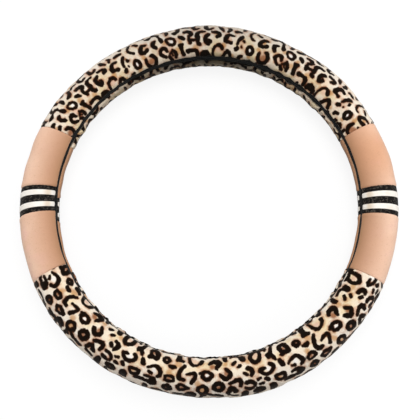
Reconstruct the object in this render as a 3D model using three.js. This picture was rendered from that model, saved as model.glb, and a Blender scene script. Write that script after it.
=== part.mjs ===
// A plush steering wheel cover: a ring of closed grip section with one slit, through which it is
// pulled over a wheel's rim. A rubber ring holds the shape. Two long printed plush panels and two
// short plain side panels are sewn end to end over it, and a black woven band with two cream
// ribbons is sewn round each side panel.
//
// Lengths are in millimetres and angles in degrees. The cover lies flat: +Z is the ring's axis and
// points to the driver, +Y is the top of the wheel, and the origin is under the ring's middle, on
// the surface that it lies on. In the section, an angle of 0 points at the ring's axis, 90 points
// up to the driver, 180 points outwards and 270 points down.
import * as THREE from 'three';

const { degToRad, radToDeg } = THREE.MathUtils;

// Ring and grip.
const coverDiameter = 390;
const gripDiameter = 39.6;
const restFlatWidth = 9;

// Layers, from the rim outwards.
const linerThickness = 2;
const panelThickness = 3;
const bandThickness = 0.8;
const ribbonThickness = 0.5;
const layerClearance = 0.3;

// Slit between the hems. Its middle lies above the ring's mid-plane, on the driver's side.
const slitHeight = 4.7;
const linerGap = 4.2;
const beadThickness = 0.6;
const hemFoldRise = 1;

// Lengths along the ring's centre line.
const sidePanelLength = 155;
const bandWidth = 28;
const ribbonWidth = 5.8;
const ribbonSpacing = 12.5;
const ribbonSetback = 4.5;
const seamClearance = 0.3;
const seamRollLength = 3;
const seamRollDepth = 1.2;
const grooveEdge = 0.3;

// Gathers where the printed panels are drawn in along the slit.
const gathersPerPanel = 20;
const gatherDepth = 0.8;
const hemScallop = 1.2;
const gatherReach = 60;

// Facets.
const stepsPerGather = 2;
const sidePanelSteps = 4;
const bandSteps = 3;
const frontSegments = 3;
const outerUpperSegments = 5;
const outerLowerSegments = 4;
const rearSegments = 3;
const innerWallSegments = 9;
const linerSegments = 56;

// Share of the wall within which a point counts as lying on the inner or the outer wall.
const foldTolerance = 0.01;

// Sizes that follow.
const gripRadius = gripDiameter / 2;
const centreRadius = coverDiameter / 2 - gripRadius;
const panelInnerRadius = gripRadius - panelThickness;
const linerOuterRadius = panelInnerRadius - layerClearance;
const linerInnerRadius = linerOuterRadius - linerThickness;
const ribbonInnerRadius = gripRadius - ribbonThickness;
const bandOuterRadius = ribbonInnerRadius - layerClearance;
const bandInnerRadius = bandOuterRadius - bandThickness;
const grooveDepth = gripRadius - bandInnerRadius + layerClearance;
const restHalfAngle = radToDeg(Math.asin(restFlatWidth / 2 / gripRadius));
const restHeight = gripRadius * Math.cos(degToRad(restHalfAngle));
const beadFrontLevel = slitHeight + linerGap / 2;
const beadRearLevel = slitHeight - linerGap / 2;
const hemFrontLevel = beadFrontLevel + beadThickness + layerClearance;
const hemRearLevel = beadRearLevel - beadThickness - layerClearance;
const foldInset = panelThickness / 4;

/** Angle round the ring that a length along its centre line covers. */
function ringAngle(length) {
  return radToDeg(length / centreRadius);
}

/** Angle in the section of the point at this radius and level, on the side of the ring's axis. */
function levelAngle(radius, level) {
  return radToDeg(Math.asin(level / radius));
}

/** Point of the section at this radius and angle, as (outwards, up). */
function sectionPoint(radius, angle) {
  return new THREE.Vector2(-radius * Math.cos(degToRad(angle)), radius * Math.sin(degToRad(angle)));
}

/** Evenly spaced numbers from first to last, both included. */
function spread(first, last, steps) {
  return Array.from({ length: steps + 1 }, (_, i) => first + ((last - first) * i) / steps);
}

/** Angles of the outer wall's points, from the front hem round the outside to the rear hem. */
function outerWallAngles() {
  const front = levelAngle(gripRadius, hemFrontLevel + hemFoldRise);
  const rear = 360 + levelAngle(gripRadius, hemRearLevel - hemFoldRise);
  const setback = radToDeg(ribbonSetback / gripRadius);
  return [
    front,
    ...spread(front + setback, 90, frontSegments),
    ...spread(90, 180, outerUpperSegments).slice(1),
    ...spread(180, 270 - restHalfAngle, outerLowerSegments).slice(1),
    ...spread(270 + restHalfAngle, rear - setback, rearSegments),
    rear,
  ];
}

/** Angles of the wall between panel and liner, from the front hem to the rear hem. */
function innerWallAngles() {
  const front = levelAngle(panelInnerRadius, hemFrontLevel + hemFoldRise);
  const rear = 360 + levelAngle(panelInnerRadius, hemRearLevel - hemFoldRise);
  return spread(front, rear, innerWallSegments);
}

/** Points of a hem's fold at its level, from the outer wall's side to the inner wall's side. */
function hemFold(level) {
  return [gripRadius - foldInset, panelInnerRadius + foldInset].map((radius) =>
    sectionPoint(radius, levelAngle(radius, level)),
  );
}

/** Closed outline of a panel's wall with a folded hem at each side of the slit. */
function panelOutline() {
  return [
    ...outerWallAngles().map((angle) => sectionPoint(gripRadius, angle)),
    ...hemFold(hemRearLevel),
    ...innerWallAngles().reverse().map((angle) => sectionPoint(panelInnerRadius, angle)),
    ...hemFold(hemFrontLevel).reverse(),
  ];
}

/** Closed outline of a thin strip that lies round the section between two radii. */
function stripOutline(outerRadius, innerRadius, angles) {
  return [
    ...angles.map((angle) => sectionPoint(outerRadius, angle)),
    ...[...angles].reverse().map((angle) => sectionPoint(innerRadius, angle)),
  ];
}

/** Closed outline of the rubber ring's wall, whose lips turn outwards as beads below the hems. */
function linerOutline() {
  const angles = innerWallAngles();
  const beadRadius = gripRadius - foldInset;
  const innerEdge = (level) => sectionPoint(linerInnerRadius, levelAngle(linerInnerRadius, level));
  const beadEdge = (level) => sectionPoint(beadRadius, levelAngle(beadRadius, level));
  const neck = (level) => sectionPoint(linerOuterRadius, levelAngle(linerOuterRadius, level));
  return [
    innerEdge(beadFrontLevel),
    beadEdge(beadFrontLevel),
    beadEdge(beadFrontLevel + beadThickness),
    neck(beadFrontLevel + beadThickness),
    ...angles.map((angle) => sectionPoint(linerOuterRadius, angle)),
    neck(beadRearLevel - beadThickness),
    beadEdge(beadRearLevel - beadThickness),
    beadEdge(beadRearLevel),
    innerEdge(beadRearLevel),
    ...angles.slice(1, -1).reverse().map((angle) => sectionPoint(linerInnerRadius, angle)),
  ];
}

/** How near a section angle is to either hem: 1 at the hem, 0 from gatherReach degrees on. */
function hemNearness(angle) {
  const front = levelAngle(gripRadius, hemFrontLevel);
  const rear = 360 + levelAngle(gripRadius, hemRearLevel);
  const distance = Math.min(Math.abs(angle - front), Math.abs(rear - angle));
  return Math.max(0, 1 - distance / gatherReach) ** 2;
}

/**
 * Moves a point of the section with a station's gather and sink. The inner wall stays where it is,
 * the outer wall moves in and out, and a hem fold's points move in proportion and keep their level
 * as they sink.
 */
function movedPoint(x, y, { sink, wave }) {
  const radius = Math.hypot(x, y);
  const rawAngle = radToDeg(Math.atan2(y, -x));
  const angle = rawAngle < levelAngle(gripRadius, slitHeight) ? rawAngle + 360 : rawAngle;
  const share = THREE.MathUtils.clamp((radius - panelInnerRadius) / panelThickness, 0, 1);
  const gather = share * wave * hemNearness(angle);
  const away = angle < 180 ? 1 : -1;
  const scallop = away * radToDeg((hemScallop * gather) / gripRadius);
  const point = sectionPoint(radius + gatherDepth * gather, angle + scallop);
  const onFold = share > foldTolerance && share < 1 - foldTolerance;
  const inwards = onFold ? new THREE.Vector2(1, 0) : point.clone().normalize().negate();
  return point.addScaledVector(inwards, share * sink);
}

/**
 * Carries an outline round the ring from station to station, as a closed solid with flat ends. A
 * station has its angle, how far the outer wall is sunk there, and its place in the gathers' wave,
 * from 0 to 1. The extrusion runs from the last station to the first, which keeps its faces
 * pointing outwards.
 */
function carryRound(outline, stations) {
  const steps = stations.length - 1;
  const shape = new THREE.Shape(outline);
  const geometry = new THREE.ExtrudeGeometry(shape, { depth: steps, steps, bevelEnabled: false });
  const position = geometry.getAttribute('position');
  for (let i = 0; i < position.count; i += 1) {
    const station = stations[steps - Math.round(position.getZ(i))];
    const point = movedPoint(position.getX(i), position.getY(i), station);
    const turn = degToRad(station.ring);
    const ringRadius = centreRadius + point.x;
    position.setXYZ(i, ringRadius * Math.cos(turn), ringRadius * Math.sin(turn), point.y);
  }
  geometry.computeVertexNormals();
  return geometry;
}

/** Stations of a panel's end, where the plush rolls down into the seam. */
function seamStations(endAngle, direction) {
  return [0, 1].map((share) => ({
    ring: endAngle + direction * ringAngle(seamRollLength * share),
    sink: seamRollDepth * (1 - share),
    wave: 0,
  }));
}

/** Stations of a printed panel about ring angle 0, with its gathers. */
function printedPanelStations() {
  const half = (180 - ringAngle(sidePanelLength) - ringAngle(seamClearance)) / 2;
  const start = ringAngle(seamRollLength) - half;
  const steps = gathersPerPanel * stepsPerGather;
  const middle = spread(start, -start, steps).map((ring, i) => ({
    ring,
    sink: 0,
    wave: (1 - Math.cos((2 * Math.PI * i) / stepsPerGather)) / 2,
  }));
  return [...seamStations(-half, 1), ...middle.slice(1, -1), ...seamStations(half, -1).reverse()];
}

/** Ring angles of the woven band's stations about ring angle 0. */
function bandAngles() {
  const half = ringAngle(bandWidth) / 2;
  return spread(-half, half, bandSteps);
}

/** Stations of a side panel about ring angle 0, with the groove that the band lies in. */
function sidePanelStations() {
  const half = (ringAngle(sidePanelLength) - ringAngle(seamClearance)) / 2;
  const grooveFloor = ringAngle(bandWidth) / 2 + ringAngle(layerClearance);
  const grooveRim = grooveFloor + ringAngle(grooveEdge);
  const level = (ring) => ({ ring, sink: 0, wave: 0 });
  const sunk = (ring) => ({ ring, sink: grooveDepth, wave: 0 });
  const plain = spread(ringAngle(seamRollLength) - half, -grooveRim, sidePanelSteps).map(level);
  const before = [...seamStations(-half, 1), ...plain.slice(1)];
  const mirrored = before.map((station) => ({ ...station, ring: -station.ring })).reverse();
  const floor = [-grooveFloor, ...bandAngles().slice(1, -1), grooveFloor].map(sunk);
  return [...before, ...floor, ...mirrored];
}

/** Stations of a strip of this width whose middle lies at this ring angle. */
function stripStations(middle, width) {
  const half = ringAngle(width) / 2;
  return [middle - half, middle + half].map((ring) => ({ ring, sink: 0, wave: 0 }));
}

/** A named sub-part, turned about the ring's axis to its place. */
function subPart(name, geometry, material, turn = 0) {
  const mesh = new THREE.Mesh(geometry, material);
  mesh.name = name;
  mesh.rotation.z = degToRad(turn);
  return mesh;
}

/** The rubber ring that holds the cover open. */
function innerRing() {
  const profile = linerOutline()
    .map((point) => new THREE.Vector2(centreRadius + point.x, point.y))
    .reverse();
  const geometry = new THREE.LatheGeometry([...profile, profile[0].clone()], linerSegments);
  geometry.rotateX(Math.PI / 2);
  const rubber = new THREE.MeshStandardMaterial({ color: '#17171a', roughness: 0.55, metalness: 0 });
  return subPart('inner_ring', geometry, rubber);
}

/** A long printed plush panel. */
function printedPanel(name, turn) {
  const plush = new THREE.MeshStandardMaterial({ color: '#cdb086', roughness: 0.95, metalness: 0 });
  return subPart(name, carryRound(panelOutline(), printedPanelStations()), plush, turn);
}

/** A short plain side panel. */
function sidePanel(name, turn) {
  const suede = new THREE.MeshStandardMaterial({ color: '#c0987a', roughness: 0.9, metalness: 0 });
  return subPart(name, carryRound(panelOutline(), sidePanelStations()), suede, turn);
}

/** The black woven band round the middle of a side panel. */
function wovenBand(name, turn) {
  const outline = stripOutline(bandOuterRadius, bandInnerRadius, outerWallAngles());
  const stations = bandAngles().map((ring) => ({ ring, sink: 0, wave: 0 }));
  const weave = new THREE.MeshStandardMaterial({ color: '#1e1c1e', roughness: 0.7, metalness: 0 });
  return subPart(name, carryRound(outline, stations), weave, turn);
}

/** A cream ribbon on the woven band, on one side of the band's middle. */
function ribbon(name, turn, side) {
  const outline = stripOutline(gripRadius, ribbonInnerRadius, outerWallAngles().slice(1, -1));
  const middle = (side * ringAngle(ribbonSpacing)) / 2;
  const satin = new THREE.MeshStandardMaterial({ color: '#e9e2cf', roughness: 0.4, metalness: 0 });
  return subPart(name, carryRound(outline, stripStations(middle, ribbonWidth)), satin, turn);
}

const cover = new THREE.Group();
cover.position.z = restHeight;
cover.add(
  innerRing(),
  printedPanel('upper_panel', 90),
  printedPanel('lower_panel', -90),
  sidePanel('right_panel', 0),
  sidePanel('left_panel', 180),
  wovenBand('right_band', 0),
  wovenBand('left_band', 180),
  ribbon('right_upper_ribbon', 0, 1),
  ribbon('right_lower_ribbon', 0, -1),
  ribbon('left_upper_ribbon', 180, -1),
  ribbon('left_lower_ribbon', 180, 1),
);

export default cover;
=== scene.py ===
"""Visual model of a plush steering wheel cover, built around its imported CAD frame.

The cover is a ring of closed grip section with one slit. In the section, an angle of 0 points at
the ring's axis, 90 points up to the driver, 180 points outwards and 270 points down. Lengths are
in millimetres unless a name says metres, and meshes are placed in metres in the row frame.

A printed panel's pattern is drawn with round brush strokes through a few points. Every vertex
keeps its distance to the nearest stroke, and the material turns those distances into ink.
"""

import logging
import math
from dataclasses import dataclass
from enum import Enum
from typing import Callable, Sequence

import bpy
import numpy as np
from mathutils import Matrix, Vector

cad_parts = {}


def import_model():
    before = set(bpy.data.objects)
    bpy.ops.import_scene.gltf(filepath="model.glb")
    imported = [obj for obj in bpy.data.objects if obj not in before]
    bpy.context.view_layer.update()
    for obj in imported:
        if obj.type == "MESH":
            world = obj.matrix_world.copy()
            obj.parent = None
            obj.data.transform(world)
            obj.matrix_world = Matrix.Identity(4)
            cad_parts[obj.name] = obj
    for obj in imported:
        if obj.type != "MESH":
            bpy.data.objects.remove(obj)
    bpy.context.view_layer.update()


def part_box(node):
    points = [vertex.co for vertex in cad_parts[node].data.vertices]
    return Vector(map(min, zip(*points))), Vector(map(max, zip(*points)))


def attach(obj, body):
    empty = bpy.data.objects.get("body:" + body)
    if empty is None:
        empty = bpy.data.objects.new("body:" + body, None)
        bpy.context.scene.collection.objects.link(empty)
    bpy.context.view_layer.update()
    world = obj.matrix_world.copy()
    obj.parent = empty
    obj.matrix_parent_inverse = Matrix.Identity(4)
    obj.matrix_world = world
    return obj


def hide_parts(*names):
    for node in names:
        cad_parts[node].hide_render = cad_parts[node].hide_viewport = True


LOG = logging.getLogger("cover")
MM = 0.001
FULL_TURN = 2 * math.pi

Point = tuple[float, float, float]
Stroke = tuple[Point, ...]


class Finish(Enum):
    """Names of the cover's finishes."""

    LEOPARD = "leopard_plush"
    TAN = "tan_plush"
    WEBBING = "black_webbing"
    RIBBON = "cream_ribbon"
    RUBBER = "black_rubber"


# Sizes that the frame's boxes don't give.
REST_HALF_FLAT = 4.5
WALL = 3.0
FRONT_HEM_LEVEL = 7.7
REAR_HEM_LEVEL = 1.7
SIDE_LENGTH = 155.0
SEAM_GAP = 0.12
SEAM_ROLL = 1.8
SLIT_FADE = math.radians(75)
HEM_FADE = math.radians(60)
BAND_WIDTH = 28.0
LOOP_SPACING = 3.4
RIBBON_WIDTH = 5.5
RIBBON_SPACING = 12.9
RIBBON_DROP = 0.7
RIB_SPACING = 1.15

# Spacing of points on the printed pile, the plain pile and a wall's inner side, and points a fold.
PRINTED_STEP = 0.86
PLAIN_STEP = 1.0
INNER_STEP = 3.6
FOLD_POINTS = 7

# Each tint's colour and how much of it shows at most, in the order in which they are laid.
TINTS = {
    "ochre": ("#c68f55", 0.75),
    "rose": ("#e6bda4", 0.75),
    "brown": ("#97592f", 0.9),
    "white": ("#f8f1ea", 0.9),
}


def linear(code: str) -> tuple[float, float, float, float]:
    """Turns an sRGB hex colour into Blender's linear colour.

    Args:
        code: The colour as "#rrggbb".

    Returns:
        Red, green, blue and an alpha of 1.
    """
    parts = [int(code[i : i + 2], 16) / 255 for i in (1, 3, 5)]
    made = [c / 12.92 if c <= 0.04045 else ((c + 0.055) / 1.055) ** 2.4 for c in parts]
    return (*made, 1.0)


def ripple(u: np.ndarray, v: np.ndarray, length: float, seed: int) -> np.ndarray:
    """Smooth random waves, as a sum of sines in random directions.

    Args:
        u: First coordinates, in millimetres.
        v: Second coordinates, in millimetres.
        length: The waves' mean length.
        seed: The random seed.

    Returns:
        Heights of about unit spread, in the shape of u and v together.
    """
    random = np.random.default_rng(seed)
    total = np.zeros(np.broadcast(u, v).shape)
    waves = 14
    for _ in range(waves):
        turn, phase = random.uniform(0, FULL_TURN, 2)
        k = FULL_TURN / (length * random.uniform(0.7, 1.5))
        total += np.sin(k * (u * math.cos(turn) + v * math.sin(turn)) + phase)
    return total * math.sqrt(2 / waves)


def bell(x: np.ndarray, middle: float, width: float) -> np.ndarray:
    """A smooth bump of height 1, exp(-((x - middle) / width)^2).

    Args:
        x: Positions.
        middle: The bump's place.
        width: Its half-width.

    Returns:
        The bump's height at each position.
    """
    return np.exp(-(((x - middle) / width) ** 2))


def fade(x: np.ndarray, width: float) -> np.ndarray:
    """A fall from 1 at 0 to 0 at the width, (1 - x / width)^2, level before and after.

    Args:
        x: Positions.
        width: The fall's length.

    Returns:
        The height at each position.
    """
    return np.clip(1 - x / width, 0, 1) ** 2


def ease(t: np.ndarray) -> np.ndarray:
    """The smooth step t^2 * (3 - 2t).

    Args:
        t: Numbers from 0 to 1.

    Returns:
        The step's height at each.
    """
    return t * t * (3 - 2 * t)


@dataclass(frozen=True)
class Fit:
    """How the stretched cover sits: where it is fuller, where its slit runs and how its seams lie.

    A table has a number every 15 degrees about the axis, from the wheel's right-hand side on.

    Attributes:
        outside: Table of extra radius on the outside.
        top: Extra radius at the inside at the wheel's top, and less of it by as much at the bottom.
        slit_down: How far down both hems lie at the sides.
        slit_sway: How much further up they lie at the top, and further down at the bottom.
        rear_reach: How much further up the rear hem lies all round.
        lean: How far the seams at the left-hand side run along the ring per length round the grip.
        upright: Section angle where the lean moves nothing.
        pull: Table of how far seams are moved along the ring.
    """

    outside: tuple[float, ...] = (
        0.9, 0.4, -0.6, 0.7, -0.5, 0.8, 1.8, 0.6, -0.2, -0.4, 0.5, -0.4,
        -0.1, -0.3, 0.3, 0.3, 0.2, -0.8, -0.6, 1.4, 1.1, 0.5, 0.7, 0.3,
    )  # fmt: skip
    top: float = 1.3
    slit_down: float = 1.0
    slit_sway: float = 3.2
    rear_reach: float = 2.0
    lean: float = 0.095
    upright: float = math.radians(97)
    pull: tuple[float, ...] = (
        -1.0, -0.4, 0.0, 0.0, 0.0, 0.0, 0.0, 0.0, 0.0, 1.3, 2.9, 1.9,
        0.35, -0.8, -1.0, -0.6, 0.0, 0.0, 0.0, 0.0, 0.0, -1.1, -2.2, -1.7,
    )  # fmt: skip

    @staticmethod
    def look_up(table: tuple[float, ...], turn: np.ndarray) -> np.ndarray:
        """Reads a table: between its numbers a and b the line is a + (b - a) * t^2 * (3 - 2t).

        Args:
            table: The table.
            turn: Angles about the ring's axis, in radians.

        Returns:
            The table's value at each angle.
        """
        values = np.array(table)
        place = np.mod(turn / FULL_TURN, 1) * len(values)
        first = np.floor(place).astype(int) % len(values)
        t = ease(place - np.floor(place))
        return values[first] * (1 - t) + values[(first + 1) % len(values)] * t

    def fullness(self, turn: np.ndarray, angle: np.ndarray) -> np.ndarray:
        """Extra radius: the table outside, top * sin(turn) inside, mixed by (1 - cos(angle)) / 2.

        Args:
            turn: Angles about the ring's axis, in radians.
            angle: Angles in the section, in radians.

        Returns:
            The extra radius at each point.
        """
        outwards = (1 - np.cos(angle)) / 2
        outside = self.look_up(self.outside, turn) * outwards**1.5
        return outside + self.top * np.sin(turn) * (1 - outwards)

    def along(self, turn: np.ndarray, run: np.ndarray) -> np.ndarray:
        """How far seams move along the ring: the table, and the lean times ((1 - cos(turn)) / 2)^2.

        Args:
            turn: Angles about the ring's axis, in radians.
            run: Lengths round the grip from where the lean moves nothing.

        Returns:
            The move at each point, in the ring angle's direction.
        """
        left = ((1 - np.cos(turn)) / 2) ** 2
        return self.look_up(self.pull, turn) + self.lean * left * run


@dataclass(frozen=True)
class Ring:
    """The ring that the cover forms, in millimetres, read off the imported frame."""

    centre_radius: float
    grip_radius: float
    centre_height: float
    fit: Fit = Fit()

    @classmethod
    def from_frame(cls) -> "Ring":
        """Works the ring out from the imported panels' boxes.

        Returns:
            The ring.
        """
        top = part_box("upper_panel")[1].z / MM
        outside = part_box("right_panel")[1].x / MM
        grip = (top**2 + REST_HALF_FLAT**2) / (2 * top)
        return cls(outside - grip, grip, top - grip)

    def hems(self) -> tuple[float, float]:
        """Section angles of the hems' tips in the middle of the wall, the rear one past a full turn."""
        middle = self.grip_radius - WALL / 2
        front, rear = (math.asin(level / middle) for level in (FRONT_HEM_LEVEL, REAR_HEM_LEVEL))
        return front, FULL_TURN + rear

    def moves(self, turn: np.ndarray, angle: np.ndarray) -> tuple[np.ndarray, np.ndarray]:
        """How far the fit moves each point round the grip and along the ring.

        Round the grip it is the slit's way up or down, which fades by the square of the distance
        from the hem over 75 degrees.

        Args:
            turn: Angles about the ring's axis, in radians.
            angle: Angles in the section, in radians.

        Returns:
            The move round the grip and the move in the ring angle's direction.
        """
        fit = self.fit
        front, rear = self.hems()
        front_share, rear_share = fade(angle - front, SLIT_FADE), fade(rear - angle, SLIT_FADE)
        lift = fit.slit_sway * np.sin(turn) - fit.slit_down
        slid = lift * np.maximum(front_share, rear_share) + fit.rear_reach * rear_share
        run = (angle - fit.upright) * self.grip_radius + slid
        return slid, fit.along(turn, run)

    def place(self, turn: np.ndarray, angle: np.ndarray, radius: np.ndarray) -> np.ndarray:
        """Points of the ring in metres: x and y from the turn about the axis, z from the section.

        Args:
            turn: Angles about the ring's axis, in radians.
            angle: Angles in the section, in radians.
            radius: Distances from the section's centre.

        Returns:
            An array with one more axis, for x, y and z. No point is below the floor.
        """
        turn, angle, radius = np.broadcast_arrays(turn, angle, radius)
        slid, along = self.moves(turn, angle)
        angle = angle + slid / self.grip_radius
        radius = radius + self.fit.fullness(turn, angle)
        turn = turn + along / self.centre_radius
        reach = self.centre_radius - radius * np.cos(angle)
        height = np.maximum(self.centre_height + radius * np.sin(angle), 0)
        return np.stack([reach * np.cos(turn), reach * np.sin(turn), height], -1) * MM


@dataclass(frozen=True)
class Path:
    """A line round the section, from point to point.

    Attributes:
        angle: Angle in the section at each point, in radians.
        rise: Distance beyond the grip radius at each point.
        share: Place in the wall at each point, 0 inside and 1 outside.
        run: Length from the front hem's tip along the pile side.
    """

    angle: np.ndarray
    rise: np.ndarray
    share: np.ndarray
    run: np.ndarray

    def to_rear(self) -> np.ndarray:
        """Lengths on a wall from each point of the pile side to just past the rear hem's tip.

        Returns:
            The lengths, below zero on the inner side.
        """
        return self.run.max() - 1.5 * math.pi * WALL / 4 - self.run


def wall_path(ring: Ring, step: float) -> Path:
    """The closed line round a wall with a half-round fold at each hem.

    Args:
        ring: The ring.
        step: Spacing of the points on the pile side.

    Returns:
        The path, which starts and ends beside the front hem's tip and doesn't repeat a point.
    """
    half = WALL / 2
    middle = ring.grip_radius - half
    front, rear = ring.hems()
    first, last = front + half / middle, rear - half / middle
    outside = np.linspace(first, last, int((last - first) * ring.grip_radius / step) + 1)
    inside = np.linspace(last, first, int((last - first) * middle / INNER_STEP) + 1)
    bend = np.linspace(0, math.pi, FOLD_POINTS + 2)[1:-1]
    rear_fold = last + half / middle * np.sin(bend)
    front_fold = first - half / middle * np.sin(bend[::-1])
    angle = np.concatenate([outside, rear_fold, inside, front_fold])
    bent = (np.cos(bend) - 1) * half
    rise = np.concatenate([np.zeros(len(outside)), bent, np.full(len(inside), -WALL), bent[::-1]])
    quarter = half * math.pi / 2
    length = quarter + (last - first) * ring.grip_radius
    run = np.concatenate(
        [
            quarter + (outside - first) * ring.grip_radius,
            length + half * bend,
            np.linspace(length + 2 * quarter, length + 3 * quarter, len(inside)),
            quarter - half * bend[::-1],
        ]
    )
    return Path(angle, rise, 1 + rise / WALL, run)


@dataclass(frozen=True)
class PrintDesign:
    """A repeating pattern of brush strokes.

    Attributes:
        period: Length of the repeat along the ring.
        rise: How far each repeat lies further from the front hem.
        row: Height of the repeat.
        shift: How far each row is moved along.
        weight: Extra half width of every stroke, as the ink spreads in the pile.
        uneven: How far the print is pulled out of its even spacing one repeat from the middle.
        start: How far the whole pattern lies further from the front hem.
        dim: Painted shade round the panel's middle: how much darker the pile is made there, as a share.
        hem_dim: The same at the front hem, over 5 mm.
        rear_dim: The same at the rear hem, over 9 mm.
        outer_dim: The same round the grip's outside.
        outer_start: Length from the front hem where that starts.
        strokes: Points (along, from the hem, half the stroke's width) of each stroke.
        blots: Middle (along, from the hem) and radius of each soft round patch, by tint.
    """

    period: float
    rise: float
    row: float
    shift: float
    weight: float
    uneven: float
    start: float
    dim: float
    hem_dim: float
    rear_dim: float
    outer_dim: float
    outer_start: float
    strokes: tuple[Stroke, ...]
    blots: dict[str, tuple[Point, ...]]


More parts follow.
